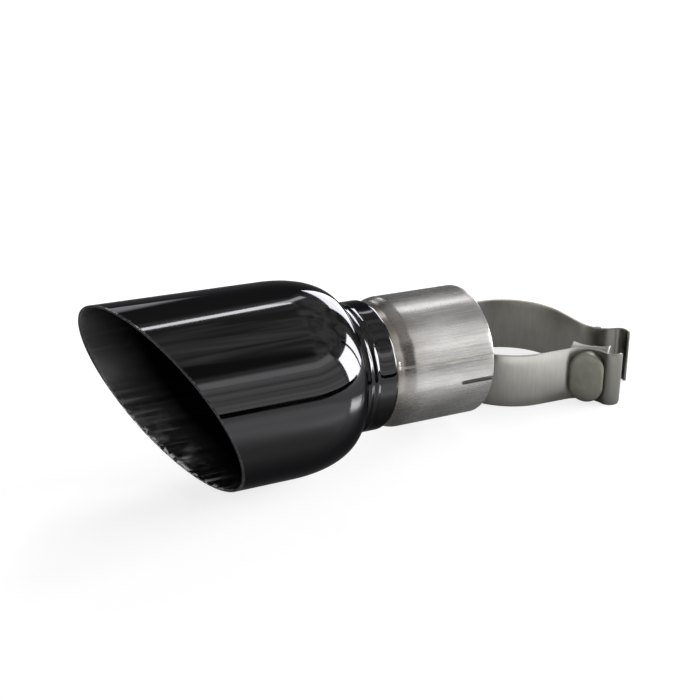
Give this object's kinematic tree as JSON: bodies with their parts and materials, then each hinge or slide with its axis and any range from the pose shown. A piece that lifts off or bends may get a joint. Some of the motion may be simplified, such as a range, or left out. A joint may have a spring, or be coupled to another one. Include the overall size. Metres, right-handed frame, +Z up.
{
  "type": "exhaust tip",
  "caption": "Slash-cut round exhaust tip: black domed shell with a beaded neck, a slotted stainless inlet tube, and a loose band clamp with an oval-head bolt.",
  "frame": {"origin": "centre of the tube's inlet end, on the tip's axis", "axes": "+X level along the tip, out of the inlet; +Z up. The tip's axis leans 4.3 degrees, with the inlet end lower, as in the picture, and the clamp stands on the same floor"},
  "size_m": [0.317, 0.1188, 0.1081],
  "materials": {
    "black_shell": "polished black chrome",
    "tube_steel": "mill finish, lightly brushed",
    "weld_metal": "as welded",
    "band_steel": "satin",
    "spacer_steel": "matte, sawn",
    "bolt_steel": "matte",
    "zinc_steel": "zinc plated"
  },
  "bodies": {
    "root": {"outer_shell": "black_shell", "inlet_tube": "tube_steel", "tack_welds": "weld_metal", "clamp_band": "band_steel", "clamp_spacer": "spacer_steel", "clamp_bolt": "bolt_steel", "clamp_bar": "spacer_steel", "clamp_washer": "zinc_steel", "clamp_nut": "zinc_steel"}
  },
  "joints": []
}
